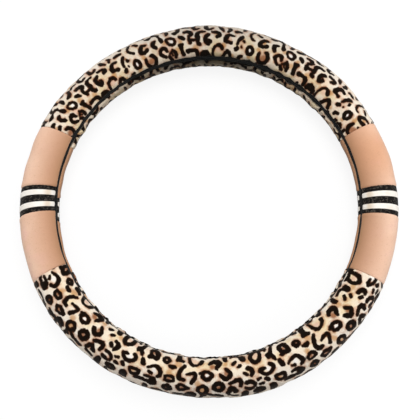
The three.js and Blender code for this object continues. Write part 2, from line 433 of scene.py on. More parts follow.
UPPER_PRINT = PrintDesign(
    period=130.0,
    rise=2.3,
    row=39.5,
    shift=57.0,
    weight=0.6,
    uneven=1.2,
    start=0.0,
    dim=0.19,
    hem_dim=0.75,
    rear_dim=0.93,
    outer_dim=0.27,
    outer_start=8.0,
    strokes=(
        ((-65.4, 34.8, 1.5), (-62.4, 34.4, 2.3), (-59.4, 36, 1.0), (-55, 36.2, 1.8), (-52.8, 34.4, 1.5)),
        ((-52.8, 34.4, 1.5), (-52.4, 31, 0.9), (-51, 27.2, 2.1), (-50.6, 25.6, 1.9)),
        ((-43.8, 38, 1.5), (-43.2, 34.4, 1.8), (-43.6, 31.4, 1.1)),
        ((-31, 38.4, 1.3), (-31.8, 34.6, 2.1), (-33.8, 32.4, 2.2), (-36.2, 31.8, 1.7)),
        ((-24.6, 31, 1.8), (-21.4, 31, 2.1), (-18.6, 28.6, 2.3), (-19, 26.8, 1.8), (-21, 25, 1.6)),
        ((-21, 25, 1.5), (-21.2, 21.8, 1.6), (-20.2, 18.6, 1.8)),
        ((-22, 21.2, 1.1), (-17, 20.6, 1.2), (-12, 21.4, 1.4)),
        ((-4.6, 29.6, 0.9), (-9, 29.6, 1.3), (-12.2, 26.8, 2.1), (-11.4, 21.6, 2.0), (-12.2, 17.4, 1.7), (-10, 15.8, 1.8)),
        ((-45.2, 25.8, 1.0), (-41, 26.2, 1.2), (-37.4, 24.6, 1.3), (-36.6, 21, 1.3), (-39.4, 18.8, 1.2), (-43, 20, 1.2)),
        ((-43, 20, 1.2), (-45.2, 22.8, 1.2), (-45.2, 25.8, 1.0)),
        ((-57, 27.4, 1.2), (-60, 26, 2.0), (-60.2, 22.6, 2.1), (-58.4, 20.2, 1.9)),
        ((-30.8, 25.8, 1.5), (-28.4, 24.6, 2.0), (-26.8, 22.8, 1.5)),
        ((0.6, 25.5, 1.3), (-2.8, 23.6, 2.0), (-3.4, 20, 2.1), (-1.2, 16.4, 2.1), (1.6, 18.6, 1.7), (0.4, 20.4, 1.0)),
        ((4, 28.8, 1.2), (8.4, 28.6, 1.3), (11.6, 26.8, 1.6), (11.4, 25.2, 1.9), (8.8, 24, 1.5)),
        ((26.4, 26.6, 1.1), (22, 26.8, 1.6), (18.8, 23.6, 2.1), (18, 20.4, 1.9), (21.4, 19.4, 1.3), (24.4, 18.6, 1.7)),
        ((35.8, 27, 1.5), (34, 25.2, 1.8), (32.2, 22, 1.5), (31.4, 18.4, 1.2)),
        ((37.8, 22.2, 1.3), (38.2, 21.8, 1.4)),
        ((36.2, 16.4, 0.7), (36.4, 15.8, 0.8)),
        ((30.6, 12.8, 2.0), (32.2, 14, 1.8)),
        ((46, 18, 1.5), (49, 15.6, 1.6), (48.8, 11.8, 1.6), (46.2, 10, 1.5), (43.5, 12.2, 1.6), (43.2, 16, 1.5), (46, 18, 1.5)),
        ((46, 38, 1.5), (43.6, 33.4, 1.1), (43.2, 30, 1.1), (45.6, 26.8, 1.1), (48.4, 25.6, 0.9)),
        ((50.8, 35.8, 1.2), (54.2, 32.6, 1.1)),
        ((62, 29.8, 1.3), (58.2, 29.4, 1.7), (55.6, 26, 2.0), (54.8, 22.8, 1.9), (58.4, 21.7, 1.5), (62.4, 23.4, 1.9)),
        ((57, 14.6, 1.5), (56.9, 10, 2.0), (59.5, 6.2, 1.9), (63.5, 5.2, 1.7), (67, 8, 1.9), (68, 12.5, 2.0)),
        ((68, 12.5, 2.0), (65.6, 16.2, 1.9), (62.8, 16.8, 0.9)),
        ((-47.4, 13.4, 1.4), (-48.8, 16.8, 1.9), (-52.6, 17, 1.6), (-55.4, 13.6, 1.7), (-53, 10.4, 1.6), (-50, 8.2, 1.2)),
        ((-40.8, 13.8, 1.3), (-38, 10.5, 1.7), (-38.2, 6.8, 1.6)),
        ((-46, 7.8, 1.7), (-43.4, 4.6, 1.9)),
        ((-44.6, 10.4, 1.0), (-41.6, 12.4, 1.1)),
        ((-33, 17.2, 1.2), (-28.8, 17.4, 1.2)),
        ((-31, 16, 2.4), (-30.4, 11.4, 1.9), (-29.2, 7.2, 2.2)),
        ((-23.6, 10.2, 2.3), (-19, 10.6, 1.5), (-14.6, 9.6, 2.1), (-12.8, 6.6, 2.1), (-13, 2.8, 1.8)),
        ((-8.4, 3, 1.8), (-7, 7.4, 1.9), (-3.4, 8, 2.0), (-0.4, 5.6, 2.1), (0.8, 1.6, 1.6)),
        ((-6, 4.6, 1.6), (-2.8, 4.4, 1.6)),
        ((-43.4, 12, 0.4), (-41.4, 8.6, 0.7)),
        ((5, 1, 1.4), (4.8, 7, 1.3), (6.4, 12.8, 1.3), (10.2, 15.2, 1.5), (14, 14.2, 2.1), (15.2, 12.4, 1.9)),
        ((15.6, 1.4, 1.6), (18, 6.4, 1.7), (21, 9.2, 1.9), (23.8, 7.6, 1.8), (25.8, 2.6, 1.5)),
        ((35, 4, 1.7), (35.8, 6.2, 1.8), (38.4, 7.4, 1.4)),
        ((41.6, 1.4, 1.4), (42.6, 1.6, 1.4)),
        ((46.2, 0.4, 1.4), (49, 2.4, 1.6), (52.4, 0.8, 1.4)),
        ((-15.8, 41, 1.6), (-15.4, 36.8, 1.9), (-12.8, 34.4, 1.5), (-9.4, 35.6, 1.2)),
        ((-2.6, 40.4, 1.5), (-2.2, 34.8, 1.8), (0.8, 32.6, 1.6), (4, 34.6, 1.3)),
        ((11.6, 38, 1.6), (13, 34.8, 2.1), (15.4, 31.4, 1.1)),
        ((20.8, 37, 1.2), (21.8, 34, 1.6), (20.4, 31, 1.1)),
        ((28.4, 33, 1.7), (31.4, 33.2, 1.8), (33.8, 32.2, 1.3)),
        ((36.6, 42, 1.5), (36.2, 37.4, 1.4)),
    ),
    blots={
        "brown": ((62.6, 11, 3.6), (-42.6, 10.6, 3.6)),
        "ochre": (
            *((59.4, 26, 2.0), (-35.4, 12.4, 3.4), (17, 15.6, 2.8), (9.4, 26.2, 2.6)),
            *((-31, 20.6, 2.4), (-48.5, 23, 2.4), (-14.5, 13.2, 3.6), (27, 5.4, 2.6)),
            *((55, 17.4, 2.4), (46.4, 7, 2.2), (37, 24.6, 1.8)),
        ),
        "rose": ((-52, 12.6, 2.2), (-43, 16, 2.6), (-14, 18, 1.6), (23, 23.4, 1.8), (10.4, 10.4, 2.6)),
        "white": ((-40, 22.6, 1.9), (46.2, 14.4, 2.2)),
    },
)

LOWER_PRINT = PrintDesign(
    period=136.0,
    rise=3.7,
    row=47.0,
    shift=62.0,
    weight=0.5,
    uneven=0.0,
    start=1.0,
    dim=0.0,
    hem_dim=0.0,
    rear_dim=0.2,
    outer_dim=0.32,
    outer_start=14.0,
    strokes=(
        ((-61, 3.6, 1.9), (-58.4, 0.2, 2.4), (-54.8, 1.6, 2.6), (-53.2, 6, 2.4), (-53.4, 10.6, 2.2), (-57, 10, 2.1)),
        ((-57, 10, 2.1), (-60.2, 8, 1.8), (-61, 3.6, 1.9)),
        ((-57, 10.4, 1.6), (-60.6, 11.2, 1.9), (-62, 10.6, 1.2)),
        ((-43, 5, 1.7), (-39.8, 8.1, 1.7), (-43, 11.2, 1.7), (-46.2, 8.1, 1.7), (-43, 5, 1.7)),
        ((-31, -3, 2.4), (-30.8, 2, 2.7), (-32.6, 5.8, 1.9)),
        ((-30.4, 4.8, 2.8), (-26, 6.6, 1.6)),
        ((-20.6, -2, 1.6), (-19.4, 5, 1.7), (-16.5, 9.4, 1.8), (-12.2, 9.4, 1.3), (-8, 6.6, 1.9), (-6.8, 3, 2.0)),
        ((1.2, 7, 1.6), (5, 4, 2.5), (9, 3.6, 2.8), (11.4, 7, 2.3), (8.8, 11, 2.1), (8.2, 13.2, 1.4)),
        ((5, 4.4, 2.2), (9, 4.6, 3.0)),
        ((17.5, -3, 2.4), (17.4, 3.2, 2.2)),
        ((25, 9.2, 1.8), (27.2, 7.2, 1.8)),
        ((30, 13.6, 1.4), (32, 12.2, 1.6)),
        ((35.4, 2.2, 3.3), (35.6, 5.8, 3.1)),
        ((51, -1.4, 1.9), (46.2, 0.4, 2.0), (43.8, 6, 2.2), (45.4, 11.2, 2.1), (48.6, 12.8, 2.0), (52.3, 10.6, 2.0)),
        ((52.3, 10.6, 2.0), (54, 5, 1.9), (53.6, 0, 1.8), (51, -1.4, 1.9)),
        ((61.6, 9, 2.4), (65, 7, 2.1), (66.6, 3, 1.7), (68, -1, 1.5)),
        ((64, 9.5, 2.4), (66.4, 14, 1.9), (67.3, 16.3, 1.2)),
        ((61.4, 12.6, 1.4), (60.6, 10.4, 1.5)),
        ((60.4, -2, 1.7), (60.8, 2, 1.5)),
        ((-65.4, 16, 2.2), (-64.4, 19, 2.6)),
        ((-59, 21.4, 1.0), (-55, 19, 1.4), (-50, 18.2, 1.8), (-46.5, 21.5, 1.9), (-45.8, 25.2, 1.8), (-48, 27.5, 1.5)),
        ((-57, 24.8, 1.0), (-54, 25.8, 1.3)),
        ((-38.6, 14.2, 1.5), (-35.8, 14.6, 2.4), (-33.6, 14.2, 1.6)),
        ((-23.8, 11.6, 1.5), (-27, 15.4, 1.9), (-28.4, 20, 1.9), (-27, 24.5, 2.1), (-23.4, 25, 1.7)),
        ((-21, 19.4, 1.0), (-17, 18.4, 1.4), (-12.6, 18.4, 1.7), (-13, 22.5, 1.6), (-15.4, 27, 1.8)),
        ((-8.2, 17.4, 1.2), (-4, 15.8, 1.6), (-0.2, 16, 1.7), (3.6, 19, 1.6), (1.4, 22.4, 1.8), (-2.5, 23.2, 1.6)),
        ((-2.5, 23.2, 1.6), (-5.6, 20.8, 1.8), (-5, 17.2, 1.7)),
        ((11.8, 19.4, 1.9), (15, 22.8, 2.1), (18, 22.8, 2.0), (21.2, 19.4, 1.9), (19, 15.8, 1.9), (17.6, 14.2, 1.6)),
        ((38.2, 16.6, 1.9), (41.6, 18, 2.1), (42.2, 21.5, 2.1), (40.4, 24, 1.4)),
        ((34.4, 20.6, 1.6), (36.4, 22.4, 1.7)),
        ((49.2, 21.8, 1.9), (52.2, 20.8, 1.7), (55, 21, 1.0)),
        ((50, 23.4, 1.4), (53.4, 26, 1.5), (58, 26.6, 1.6), (62, 24, 1.6), (63, 20.6, 1.7), (60.4, 18.5, 1.6)),
        ((-41, 24.8, 1.3), (-37, 23.4, 1.2), (-33.2, 24.2, 1.3), (-32.8, 27.6, 1.4), (-36.6, 28.8, 1.3), (-40.4, 28, 1.3)),
        ((-40.4, 28, 1.3), (-41, 24.8, 1.3)),
        ((61.4, 31.8, 1.4), (66, 31.2, 1.4), (70.4, 31.8, 1.4), (69.2, 35.4, 1.4), (65, 36.6, 1.4), (62.2, 34.4, 1.3)),
        ((62.2, 34.4, 1.3), (61.4, 31.8, 1.4)),
        ((-59, 30, 1.2), (-54, 29.8, 1.5), (-50.6, 31.8, 2.3), (-49.6, 35, 2.4), (-53, 36.4, 2.0), (-56.6, 35, 1.5)),
        ((-52.6, 33, 2.2), (-51.4, 34.6, 2.4)),
        ((-66.6, 35.6, 2.0), (-61.6, 34.6, 2.2), (-57.8, 35.6, 1.7)),
        ((-37.5, 33.6, 1.7), (-34.4, 36.5, 1.7), (-37.5, 39.4, 1.7), (-40.6, 36.5, 1.7), (-37.5, 33.6, 1.7)),
        ((-28.6, 32.8, 1.4), (-25, 30.6, 1.4), (-21, 31.6, 1.5), (-17.8, 32.4, 1.1), (-21.6, 35, 1.3), (-25.6, 36.4, 1.5)),
        ((-25.6, 36.4, 1.5), (-28.6, 32.8, 1.4)),
        ((-8.2, 31.2, 1.8), (-4.4, 30.2, 1.7), (-1.6, 33.6, 1.8), (-3, 38, 1.7), (-7.4, 38.4, 1.6), (-9.4, 34.6, 1.8), (-8.2, 31.2, 1.8)),
        ((5.2, 29.6, 2.0), (8, 27.2, 2.0), (12, 28.2, 2.1), (12.8, 31.8, 2.3), (10.4, 35, 2.2), (6.8, 34.6, 1.9)),
        ((6.8, 34.6, 1.9), (4.8, 32, 1.7), (5.2, 29.6, 2.0)),
        ((20, 28.4, 1.6), (24, 26.6, 1.9), (28, 25.8, 2.3), (30.2, 28.4, 2.0), (29, 31.8, 1.6)),
        ((17, 38.4, 1.8), (19.6, 33.6, 1.9), (22, 33.4, 1.8), (24.2, 37, 2.3)),
        ((18.4, 41.6, 1.6), (25, 44, 1.6)),
        ((35, 29.4, 1.6), (39, 29.6, 1.8), (41.8, 32.4, 1.8), (41.4, 35.2, 1.4)),
        ((33.8, 35, 1.6), (36.8, 36.4, 1.9), (39.6, 36.6, 1.1)),
        ((45.4, 29.2, 1.3), (47.8, 28.5, 1.3)),
        ((46.8, 34, 1.5), (49.2, 34.3, 1.6)),
        ((53.2, 30.4, 1.8), (54.4, 32, 1.8)),
        ((-17, 39, 2.0), (-13, 40.8, 2.0), (-15, 44, 2.0), (-19, 43.6, 2.0), (-17, 39, 2.0)),
        ((-6.2, 41, 1.5), (-3.8, 42.6, 1.6)),
        ((-1, 39.6, 1.4), (3, 41.5, 1.7)),
        ((6, 41.6, 1.8), (11, 43, 2.2)),
        ((32.4, 40.6, 2.7), (31.6, 45, 3.0)),
        ((45, 38.8, 1.7), (48.6, 41, 1.8), (45, 43.8, 1.7), (41.2, 41, 1.8), (45, 38.8, 1.7)),
        ((57.6, 40, 3.4), (57.8, 44, 3.4)),
        ((-30.4, 42.8, 1.7), (-25.6, 44, 1.8)),
        ((-50, 44, 1.6), (-45, 43, 1.7), (-40, 45.6, 1.6)),
    ),
    blots={
        "brown": (
            *((-57.4, 5.4, 1.5), (4, 10.6, 3.2), (17.4, 18.4, 2.8), (-37, 25.8, 2.2)),
            *((8.6, 32, 2.8), (-24, 34, 2.0), (-37.4, 37, 1.9), (45, 40.6, 1.9)),
        ),
        "rose": (
            *((-43, 8.3, 1.3), (23, 24.6, 3.0), (39.4, 32.6, 1.8)),
            *((-14.4, 4.6, 3.0), (57, 8, 3.0), (48.8, 6, 3.0)),
        ),
        "ochre": (
            *((-30, 10.4, 4.2), (17, 8.4, 2.6), (-5.6, 34.4, 2.2), (66, 33.6, 1.8)),
            *((-38, 20.4, 2.8), (-10, 27.4, 3.0), (40, 10, 3.0)),
        ),
        "white": ((-1.4, 20.2, 2.1), (-52.4, 22.8, 2.4), (57.6, 22.6, 2.4)),
    },
)


def brush_line(stroke: Stroke, parts: int = 4) -> np.ndarray:
    """Smooths a stroke's points with a Catmull-Rom curve.

    Args:
        stroke: The stroke, closed if its last point is its first.
        parts: Pieces between two points.

    Returns:
        One row (along, from the hem, half width) per point of the curve.
    """
    points = np.array(stroke, float)
    if len(points) < 3:
        return points
    closed = bool(np.allclose(points[0], points[-1]))
    before = points[-2] if closed else 2 * points[0] - points[1]
    after = points[1] if closed else 2 * points[-1] - points[-2]
    padded = np.vstack([before, points, after])
    a, b, c, d = (padded[i : i + len(points) - 1, None, :] for i in range(4))
    t = np.arange(parts)[None, :, None] / parts
    curve = 0.5 * (2 * b + (c - a) * t + (2 * a - 5 * b + 4 * c - d) * t**2 + (3 * b - a - 3 * c + d) * t**3)
    return np.vstack([curve.reshape(-1, 3), points[-1:]])


class PrintFields:
    """The print's values at every vertex of a panel's pile side.

    ink is the distance to the nearest stroke's edge, below zero inside it. The tints are 0 to 1.
    """

    REACH = 6.0

    def __init__(
        self, along: np.ndarray, across: np.ndarray, pulled: Sequence[np.ndarray], design: PrintDesign
    ) -> None:
        """Draws the design on a grid.

        Args:
            along: Lengths along the ring from the panel's middle, rising.
            across: Lengths from the front hem's tip, rising.
            pulled: How far the fit moves each point along the ring and away from the hem.
            design: The pattern.
        """
        self.along, self.across = along, across
        self.margin = self.REACH + max(float(np.abs(move).max()) for move in pulled)
        u, v = along[:, None] + pulled[0], across[None, :] + pulled[1]
        u = u - design.uneven * (u / design.period) ** 2
        self.u = u + 0.2 * ripple(u, v, 11, 3) + 0.15 * ripple(u, v, 3.4, 4)
        self.v = v + 0.2 * ripple(u, v, 12, 5) + 0.15 * ripple(u, v, 3.6, 6)
        self.ink = np.full(self.u.shape, self.REACH)
        self.tints = {name: np.zeros(self.u.shape) for name in TINTS}
        for move in self._repeats(design):
            for stroke in design.strokes:
                self._draw(brush_line(stroke) + move + (0, 0, design.weight))
            for name, blots in design.blots.items():
                for blot in blots:
                    self._tint(self.tints[name], blot, move)

    def _repeats(self, design: PrintDesign) -> list[np.ndarray]:
        """Moves that carry the design over the whole grid.

        Args:
            design: The pattern.

        Returns:
            One (along, across, 0) move per repeat.
        """
        moves = []
        for row in range(-1, int(self.across[-1] / design.row) + 2):
            start = row * design.shift
            reach = self.along[-1] + design.period
            for k in range(-8, 9):
                along = start + k * design.period
                if abs(along) <= reach:
                    rise = design.start + design.rise * along / design.period
                    moves.append(np.array([along, row * design.row + rise, 0.0]))
        return moves

    def _window(self, low: np.ndarray, high: np.ndarray) -> tuple[slice, slice] | None:
        """The part of the grid that a box covers.

        Args:
            low: The box's lowest (along, across).
            high: Its highest.

        Returns:
            Two slices, or None where the box is off the grid.
        """
        spans = []
        for axis, (a, b) in zip((self.along, self.across), zip(low, high)):
            first, last = np.searchsorted(axis, (a - self.margin, b + self.margin))
            if first >= last:
                return None
            spans.append(slice(int(first), int(last)))
        return spans[0], spans[1]

    def _draw(self, line: np.ndarray) -> None:
        """Lays one stroke: the distance to a segment less the half width that runs along it.

        Args:
            line: The stroke's smoothed points.
        """
        window = self._window(line[:, :2].min(0), line[:, :2].max(0))
        if window is None:
            return
        u, v, ink = self.u[window], self.v[window], self.ink[window]
        for (u0, v0, w0), (u1, v1, w1) in zip(line[:-1], line[1:]):
            du, dv = u1 - u0, v1 - v0
            t = np.clip(((u - u0) * du + (v - v0) * dv) / max(du * du + dv * dv, 1e-9), 0, 1)
            gap = np.hypot(u - u0 - t * du, v - v0 - t * dv) - (w0 + (w1 - w0) * t)
            np.minimum(ink, gap, out=ink)

    def _tint(self, values: np.ndarray, blot: Point, move: np.ndarray) -> None:
        """Lays one tinted patch, full to half its radius and gone at one and a half, by ease.

        Args:
            values: The tint's values, which it raises.
            blot: The patch.
            move: The repeat's move.
        """
        middle, radius = np.array(blot[:2]) + move[:2], blot[2]
        window = self._window(middle - radius, middle + radius)
        if window is None:
            return
        away = np.hypot(self.u[window] - middle[0], self.v[window] - middle[1]) / radius
        found = values[window]
        np.maximum(found, ease(np.clip(1.5 - away, 0, 1)), out=found)


class ShellMesh:
    """Builds closed meshes from grids of points."""

    @staticmethod
    def tube(name: str, points: np.ndarray, ring: bool = False) -> bpy.types.Object:
        """A tube whose rows close on themselves, with flat caps unless its columns close too.

        Args:
            name: The object's name.
            points: Points in metres, as (station, point of the section, xyz).
            ring: True where the last station joins the first.

        Returns:
            The object, linked to the scene, smooth, with its faces outwards.
        """
        stations, rows = points.shape[:2]
        number = np.arange(stations * rows).reshape(stations, rows)
        if ring:
            number = np.vstack([number, number[:1]])
        a, b = number[:-1], number[1:]
        c, d = np.roll(b, -1, 1), np.roll(a, -1, 1)
        quads = np.stack([a, d, c, b], -1).reshape(-1, 4)
        caps = [] if ring else [number[0][::-1], number[-1]]
        mesh = bpy.data.meshes.new(name)
        mesh.vertices.add(stations * rows)
        mesh.vertices.foreach_set("co", points.astype(np.float32).ravel())
        loops = np.concatenate([quads.ravel(), *caps])
        sizes = np.concatenate([np.full(len(quads), 4), [len(cap) for cap in caps]]).astype(int)
        mesh.loops.add(len(loops))
        mesh.loops.foreach_set("vertex_index", loops.astype(np.int32))
        mesh.polygons.add(len(sizes))
        starts = np.concatenate([[0], np.cumsum(sizes)[:-1]])
        mesh.polygons.foreach_set("loop_start", starts.astype(np.int32))
        smooth = np.ones(len(sizes), bool)
        smooth[len(quads) :] = False
        mesh.polygons.foreach_set("use_smooth", smooth)
        mesh.update(calc_edges=True)
        mesh.validate()
        made = bpy.data.objects.new(name, mesh)
        bpy.context.scene.collection.objects.link(made)
        return made

    @staticmethod
    def attribute(made: bpy.types.Object, name: str, values: np.ndarray) -> None:
        """Adds one number per vertex for the material to read.

        Args:
            made: The object.
            name: The attribute's name.
            values: The numbers, in the grid's shape.
        """
        layer = made.data.attributes.new(name, "FLOAT", "POINT")
        layer.data.foreach_set("value", values.astype(np.float32).ravel())

    @staticmethod
    def map_of(made: bpy.types.Object, u: np.ndarray, v: np.ndarray) -> None:
        """Adds a UV map from one pair of numbers per vertex.

        Args:
            made: The object.
            u: Lengths along the ring, in the grid's shape.
            v: Lengths round the section, in the grid's shape.
        """
        mesh = made.data
        corners = np.empty(len(mesh.loops), np.int32)
        mesh.loops.foreach_get("vertex_index", corners)
        pairs = np.stack([u.ravel(), v.ravel()], -1)[corners]
        mesh.uv_layers.new(name="Cloth").data.foreach_set("uv", pairs.astype(np.float32).ravel())


class Nodes:
    """Adds nodes to a tree, with few words per node."""

    def __init__(self, tree: bpy.types.NodeTree) -> None:
        """Starts on a tree.

        Args:
            tree: The tree.
        """
        self.tree = tree

    def feed(self, socket: bpy.types.NodeSocket, value: object) -> None:
        """Gives an input its value.

        Args:
            socket: The input.
            value: A number, a colour or the socket that it comes from.
        """
        if isinstance(value, bpy.types.NodeSocket):
            self.tree.links.new(value, socket)
        else:
            socket.default_value = value

    def add(self, kind: str, inputs: dict | None = None, **settings: object) -> bpy.types.Node:
        """Adds one node.

        Args:
            kind: The node's type.
            inputs: A value or a socket for each input, by name or number.
            settings: The node's own settings.

        Returns:
            The node.
        """
        made = self.tree.nodes.new(kind)
        for key, value in settings.items():
            setattr(made, key, value)
        for key, value in (inputs or {}).items():
            self.feed(made.inputs[key], value)
        return made

    def math(self, operation: str, *values: object) -> bpy.types.NodeSocket:
        """A calculation on numbers.

        Args:
            operation: Blender's name of it.
            values: Its inputs, as numbers or sockets.

        Returns:
            The result's socket.
        """
        return self.add("ShaderNodeMath", dict(enumerate(values)), operation=operation).outputs[0]


class Paint(Nodes):
    """A material, built up from nodes."""

    def __init__(self, name: str) -> None:
        """Starts a material.

        Args:
            name: The real material's name.
        """
        self.material = bpy.data.materials.new(name)
        self.material.use_nodes = True
        super().__init__(self.material.node_tree)
        self.tree.nodes.clear()
        self.shader = self.add("ShaderNodeBsdfPrincipled")
        self.add("ShaderNodeOutputMaterial", {"Surface": self.shader.outputs[0]})

    def noise(self, size: float, detail: float = 2.0, rough: float = 0.5) -> bpy.types.NodeSocket:
        """Cloudy noise in the object's own space.

        Args:
            size: Size of its clouds in millimetres.
            detail: Finer layers in it.
            rough: Strength of the finer layers.

        Returns:
            The noise, around 0.5.
        """
        place = self.add("ShaderNodeTexCoord").outputs["Object"]
        values = {"Vector": place, "Scale": 1 / (size * MM), "Detail": detail, "Roughness": rough}
        return self.add("ShaderNodeTexNoise", values).outputs["Fac"]

    def step(self, value: object, low: float, high: float) -> bpy.types.NodeSocket:
        """A smooth step from 0 at low to 1 at high.

        Args:
            value: The number's socket.
            low: Where the step starts.
            high: Where it ends, below low for a falling step.

        Returns:
            The step's socket.
        """
        values = {"Value": value, "From Min": low, "From Max": high}
        made = self.add("ShaderNodeMapRange", values, interpolation_type="SMOOTHSTEP")
        return made.outputs["Result"]

    def mix(self, share: object, first: object, second: object, blend: str = "MIX") -> bpy.types.NodeSocket:
        """A mix of two colours.

        Args:
            share: How much of the second, 0 to 1.
            first: A colour or socket.
            second: A colour or socket.
            blend: Blender's name of the way to mix.

        Returns:
            The colour's socket.
        """
        inputs = {0: share, 6: first, 7: second}
        made = self.add("ShaderNodeMix", inputs, data_type="RGBA", blend_type=blend)
        return made.outputs[2]

    def lay(self, below: object, code: str, mask: object, share: float = 1.0) -> bpy.types.NodeSocket:
        """Lays a colour over another.

        Args:
            below: The other colour or its socket.
            code: The colour, as "#rrggbb".
            mask: Where it lies, 0 to 1.
            share: How much of it shows at most.

        Returns:
            The colour's socket.
        """
        return self.mix(self.math("MULTIPLY", mask, share), below, linear(code))

    def shade(self, colour: object, level: object) -> bpy.types.NodeSocket:
        """Multiplies a colour by a number.

        Args:
            colour: The colour's socket.
            level: The number's socket.

        Returns:
            The colour's socket.
        """
        grey = self.add("ShaderNodeCombineColor", {0: level, 1: level, 2: level}).outputs[0]
        return self.mix(1.0, colour, grey, "MULTIPLY")

    def value(self, name: str) -> bpy.types.NodeSocket:
        """Reads one of the mesh's attributes.

        Args:
            name: The attribute's name.

        Returns:
            The number's socket.
        """
        return self.add("ShaderNodeAttribute", attribute_name=name).outputs["Fac"]

    def cloth(self) -> tuple[bpy.types.NodeSocket, bpy.types.NodeSocket]:
        """Reads the piece's own map.

        Returns:
            Sockets of the lengths along the ring and round the section.
        """
        place = self.add("ShaderNodeUVMap", uv_map="Cloth").outputs[0]
        part = self.add("ShaderNodeSeparateXYZ", {0: place}).outputs
        return part[0], part[1]

    def bump(self, height: object, distance: float, strength: float) -> None:
        """Bends the surface's normal by a height.

        Args:
            height: The height's socket, 0 to 1.
            distance: What a height of 1 stands for, in millimetres.
            strength: How much of it shows.
        """
        values = {"Height": height, "Distance": distance * MM, "Strength": strength}
        self.set(Normal=self.add("ShaderNodeBump", values).outputs[0])

    def set(self, **values: object) -> None:
        """Sets the main shader's inputs.

        Args:
            values: A number, colour or socket per input, with _ for a space.
        """
        for key, value in values.items():
            self.feed(self.shader.inputs[key.replace("_", " ")], value)


def pile_shade(nodes: Paint, colour: object, depth: float) -> bpy.types.NodeSocket:
    """Darkens the gaps between tufts of pile and lightens their tips.

    Args:
        nodes: The material.
        colour: The pile's colour socket.
        depth: How strongly, 0 to 1.

    Returns:
        The shaded colour's socket.
    """
    broad = nodes.math("MULTIPLY", nodes.noise(5, 2, 0.6), 0.3)
    both = nodes.math("MULTIPLY_ADD", nodes.noise(0.9, 3, 0.7), 0.7, broad)
    limits = {"From Min": 0.3, "From Max": 0.7, "To Min": 1 - depth, "To Max": 1 + depth * 0.4}
    level = nodes.add("ShaderNodeMapRange", {"Value": both, **limits}).outputs["Result"]
    return nodes.shade(colour, level)


def printed_plush(
    name: str, ground: Sequence[str], ink: Sequence[str], soft: float, pale: float
) -> bpy.types.Material:
    """Short plush pile with a print of dark strokes on a cream ground.

    Args:
        name: The material's name.
        ground: Cream, ochre and rose colours of the ground, and the paler grey of painted light on the outside.
        ink: The ink's dark colour, its thinner edge's colour and its rusty edge's.
        soft: Half the width over which ink fades into the ground.
        pale: Painted light: how much paler the ground is made by the hems, from 9 mm to 3 mm, 0 to 1.

    Returns:
        The material.
    """
    nodes = Paint(name)
    cream, ochre, rose, grey = ground
    dark, thin, rusty = ink
    hem = nodes.value("hem")
    colour = nodes.lay(linear(cream), ochre, nodes.step(nodes.noise(17), 0.42, 0.64), 0.75)
    colour = nodes.lay(colour, rose, nodes.step(nodes.noise(13), 0.5, 0.7), 0.7)
    # Painted light: the ground turns paler and greyer round the grip's outside, from 17 mm to 36 mm from the hems.
    colour = nodes.lay(colour, grey, nodes.step(hem, 17.0, 36.0), 0.65)
    # Painted light: the ground is lightened towards the hems.
    colour = nodes.lay(colour, "#fff5e8", nodes.step(hem, 9.0, 3.0), pale)
    edge = nodes.math("MULTIPLY_ADD", nodes.noise(1.1, 3, 0.7), 1.1, nodes.value("ink"))
    edge = nodes.math("SUBTRACT", edge, 0.55)
    stained = nodes.step(nodes.noise(8, 1), 0.45, 0.62)
    halo = nodes.math("MULTIPLY", nodes.step(edge, 2.6, 0.0), stained)
    colour = nodes.lay(colour, "#b5743f", halo, 0.62)
    for tint, (code, share) in TINTS.items():
        colour = nodes.lay(colour, code, nodes.value(tint), share)
    colour = pile_shade(nodes, colour, 0.1)
    rim = nodes.lay(linear(thin), rusty, stained, 0.8)
    rim = nodes.lay(rim, dark, nodes.step(edge, -0.1, -1.2))
    colour = nodes.mix(nodes.step(edge, soft, -soft), colour, rim)
    # Painted highlight: a thin pale line along each hem's fold.
    colour = nodes.lay(colour, "#e9dccb", nodes.step(hem, 1.6, 0.6), 0.45)
    # Painted shade: the per-vertex share darkens the pile round the middle, at the hems and round the outside.
    colour = nodes.shade(colour, nodes.value("painted_shade"))
    nodes.set(Base_Color=colour, Roughness=1.0, Specular_IOR_Level=0.1)
    nodes.set(Sheen_Weight=0.3, Sheen_Roughness=0.35, Sheen_Tint=linear("#fff8f0"))
    nodes.bump(nodes.noise(0.7, 3, 0.7), 0.35, 0.6)
    return nodes.material


def plain_plush() -> bpy.types.Material:
    """Short peach-tan pile with soft mottling where it lies differently.

    Returns:
        The material.
    """
    nodes = Paint("tan short-pile velvet")
    hem = nodes.value("hem")
    colour = nodes.lay(linear("#f6cfb5"), "#f1c7ac", nodes.step(nodes.noise(26), 0.38, 0.64))
    colour = nodes.lay(colour, "#f4c8b3", nodes.step(nodes.noise(14), 0.52, 0.74))
    # Painted shade: the pile darkens towards the hems, from 38 mm and again from 15 mm.
    colour = nodes.lay(colour, "#ca9b7d", nodes.step(hem, 38.0, 9.0))
    colour = nodes.lay(colour, "#c0906d", nodes.step(hem, 15.0, 1.0))
    # Painted shade: a warmer, darker patch on the right panel's upper part.
    colour = nodes.lay(colour, "#d99a70", nodes.value("warm"), 0.6)
    colour = nodes.lay(colour, "#c08e6e", nodes.step(nodes.noise(1.4, 2, 0.6), 0.58, 0.72), 0.35)
    colour = pile_shade(nodes, colour, 0.05)
    # Painted highlight: a thin pale line along each hem's fold.
    colour = nodes.lay(colour, "#e6cbb4", nodes.step(hem, 2.0, 1.0), 0.7)
    nodes.set(Base_Color=colour, Roughness=1.0, Specular_IOR_Level=0.1)
    nodes.set(Sheen_Weight=0.35, Sheen_Roughness=0.35, Sheen_Tint=linear("#fff4ee"))
    nodes.bump(nodes.noise(0.8, 3, 0.7), 0.2, 0.5)
    return nodes.material


